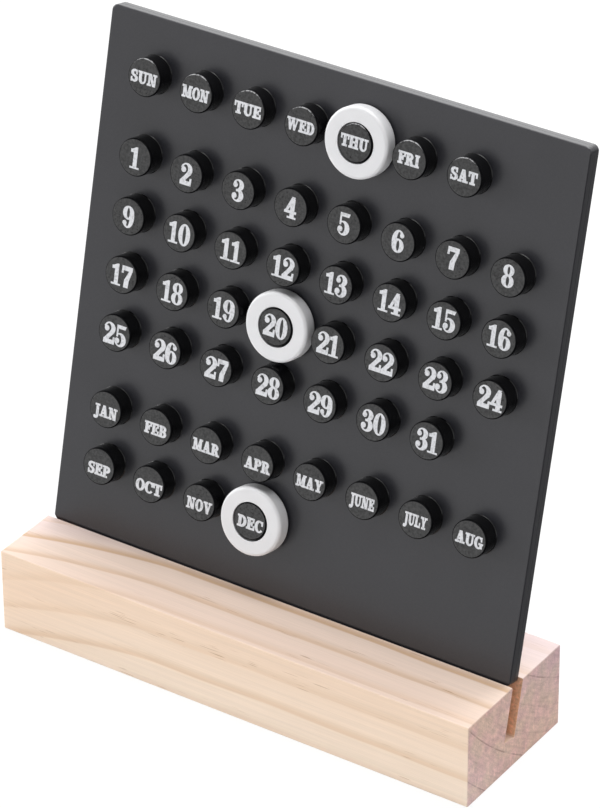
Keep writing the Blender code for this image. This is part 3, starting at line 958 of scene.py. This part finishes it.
def cut_sign(sign):
    """Model one letter or figure, on a height of 1, as a solid welded from its strokes."""
    weight = NUMERAL_WEIGHT if sign.isdigit() else CAPITAL_WEIGHT
    solids = []
    for numbers in SIGNS[sign][1]:
        stroke = STROKES[len(numbers)](weight, *numbers)
        bpy.ops.mesh.select_all(action="SELECT")
        extrude(0, 0, 1)
        solids.append(close(stroke))
    first, *others = solids
    for other in others:
        combine(first, other, "UNION", "MANIFOLD")
    bpy.ops.object.mode_set(mode="EDIT")
    bpy.ops.mesh.select_all(action="SELECT")
    bpy.ops.mesh.remove_doubles(threshold=WELD)
    bpy.ops.mesh.dissolve_degenerate(threshold=WELD)
    return close(first)


def set_word(node, signs, sizes, print_frame):
    """Set a peg's word or figure from copies of its signs, in the middle of the peg, as one piece."""
    group, word = node.split("_")[1:]
    word = word.upper()
    weight, gap, high = CAPITAL_WEIGHT, CAPITAL_GAP, sizes.capital
    if word.isdigit():
        word = str(int(word))
        weight, gap, high = NUMERAL_WEIGHT, NUMERAL_GAP, sizes.numeral
    tall = high / (1 + 2 * weight)
    reach = sum(SIGNS[sign][0] + gap for sign in word) - gap + 2 * weight
    wide = WORD_WIDTHS[word] * MM / reach if word in WORD_WIDTHS else NUMERAL_WIDTH * tall
    sunk = sizes.ink / 2  # in the peg, so that no gap shows
    start = peg_centre(node)
    start.y += weight * tall - high / 2 - PRINT_SAG * max(0.0, PRINT_MIDDLE - start.y)
    start.x += PRINT_SHIFTS[group] * MM + weight * wide - reach * wide / 2
    start.z += PEG_HIGH.z - sunk
    pieces = []
    for sign in word:
        piece = copy_of(signs[sign], "print_" + node)
        size = Matrix.Diagonal((wide, tall, sizes.ink + sunk, 1))
        fix_place(piece, print_frame @ Matrix.Translation(start) @ size)
        pieces.append(piece)
        start.x += (SIGNS[sign][0] + gap) * wide
    select(*pieces)
    if len(pieces) > 1:
        bpy.ops.object.join()
    return pieces[0]


class CALENDAR_OT_lettering(Operator):
    """Print the days, dates and months on the pegs"""

    bl_idname = "calendar.lettering"
    bl_label = "Lettering"

    def execute(self, context):
        sizes = context.scene.calendar.sizes
        material = ink_finish(context.scene.calendar.colours)
        signs = {sign: cut_sign(sign) for sign in SIGNS}
        # The whole print was laid on in one go, turned a little about the middle of the board.
        about = Matrix.Translation((0, PRINT_MIDDLE, 0))
        turn = about @ Matrix.Rotation(sizes.print_turn, 4, "Z") @ about.inverted()
        print_frame = FACE @ Matrix.Translation((0, sizes.print_up, 0)) @ turn
        for node in PEGS:
            piece = set_word(node, signs, sizes, print_frame)
            finish_piece(piece, "print_" + node.removeprefix("peg_"), "board", material, "white_plastic")
        for sign in signs.values():
            bpy.data.objects.remove(sign)
        return {"FINISHED"}


def seen_rays(add):
    """Tell the camera's rays, and all the rays by which something is seen: direct, mirrored or refracted."""
    camera = add("LightPath", output="Is Camera Ray")
    seen = camera
    for kind in ("Glossy", "Transmission"):
        ray = add("LightPath", output=f"Is {kind} Ray")
        seen = add("Math", seen, ray, operation="MAXIMUM")
    return camera, seen


def floor_finish(colours):
    """White studio paper, matt. The camera sees it lit evenly, with some of its shadow; mirrored rays see its
    glow painted brighter in front and dimmer behind the block, on the right: a painted shade in its
    reflections."""
    material, shader, add = new_finish("floor_paper")
    fill(shader, {"Base Color": (*colours.floor, 1), "Roughness": 0.9, "Specular IOR Level": 0.0})
    camera, seen = seen_rays(add)
    seen = add("Math", seen, 0.85, operation="MULTIPLY")
    place = add("TexCoord", output="Object")
    away = add("VectorMath", place, (1, 0.25, 0), operation="DOT_PRODUCT")
    painted_glow_level = add("MapRange", away, 0.07, 0.12, 1.1, 0.05)
    level = add("Mix", camera, painted_glow_level, 1.04, data_type="FLOAT")
    glow = add("Emission", WHITE, level)
    both = add("MixShader", seen, shader.outputs[0], glow)
    fill(material.node_tree.nodes["Material Output"], {"Surface": both})
    return material


class CALENDAR_OT_stage(Operator):
    """Set up the floor, the soft studio lights and the camera"""

    bl_idname = "calendar.stage"
    bl_label = "Stage"

    def execute(self, context):
        scene = context.scene
        floor = begin("plane", size=8)
        bpy.ops.mesh.subdivide(number_cuts=3)
        shift(0, 0, -0.05 * MM)  # clear of the block's underside
        bpy.ops.object.mode_set(mode="OBJECT")
        floor.name = "floor"
        floor.data.materials.append(floor_finish(scene.calendar.colours))

        scene.world = bpy.data.worlds.new("studio")
        scene.world.use_nodes = True
        tree = scene.world.node_tree
        add = partial(add_node, tree)
        seen = seen_rays(add)[1]
        level = add("MapRange", seen, 0.0, 1.0, 0.33, 1.0)
        fill(tree.nodes["Background"], {"Color": WHITE, "Strength": level})

        for name, (place, width, height, brightness) in LAMPS.items():
            light = bpy.data.lights.new(name, "AREA")
            light.shape = "RECTANGLE"
            light.size = width
            light.size_y = height
            light.energy = math.pi * width * height * brightness
            lamp = bpy.data.objects.new(name, light)
            scene.collection.objects.link(lamp)
            lamp.location = place
            lamp.rotation_euler = (Vector(place) - LAMP_AIM).to_track_quat("Z", "Y").to_euler()

        lens = bpy.data.cameras.new("photo_view")
        lens.sensor_fit = "HORIZONTAL"
        lens.sensor_width = CAMERA_FILM
        lens.lens = CAMERA_LENS
        camera = bpy.data.objects.new("photo_view", lens)
        scene.collection.objects.link(camera)
        camera.location = CAMERA_PLACE
        camera.rotation_euler = [math.radians(angle) for angle in CAMERA_TURN]
        scene.camera = camera
        scene.view_settings.view_transform = "Standard"
        return {"FINISHED"}


MAKERS = (CALENDAR_OT_block, CALENDAR_OT_board, CALENDAR_OT_pegs, CALENDAR_OT_rings, CALENDAR_OT_lettering,
          CALENDAR_OT_stage)


class CALENDAR_PT_sidebar(Panel):
    """Sizes, colours and pieces of the calendar"""

    bl_idname = "CALENDAR_PT_sidebar"
    bl_label = "Perpetual calendar"
    bl_space_type = "VIEW_3D"
    bl_region_type = "UI"
    bl_category = "Calendar"

    def draw(self, context):
        for group in (context.scene.calendar.sizes, context.scene.calendar.colours):
            column = self.layout.column(align=True)
            for name in group.__annotations__:
                column.prop(group, name)
        column = self.layout.column()
        for maker in MAKERS:
            column.operator(maker.bl_idname)


CLASSES = (CalendarSizes, CalendarColours, CalendarSettings, *MAKERS, CALENDAR_PT_sidebar)


def register():
    """Register the classes and put the settings on the scene."""
    for item in CLASSES:
        bpy.utils.register_class(item)
    bpy.types.Scene.calendar = PointerProperty(type=CalendarSettings)


def unregister():
    """Take the settings off the scene and unregister the classes."""
    del bpy.types.Scene.calendar
    for item in reversed(CLASSES):
        bpy.utils.unregister_class(item)


def main():
    """Make the whole calendar."""
    register()
    bpy.ops.calendar.block()
    bpy.ops.calendar.board()
    bpy.ops.calendar.pegs()
    bpy.ops.calendar.rings()
    bpy.ops.calendar.lettering()
    bpy.ops.calendar.stage()


if __name__ == "__main__":
    main()
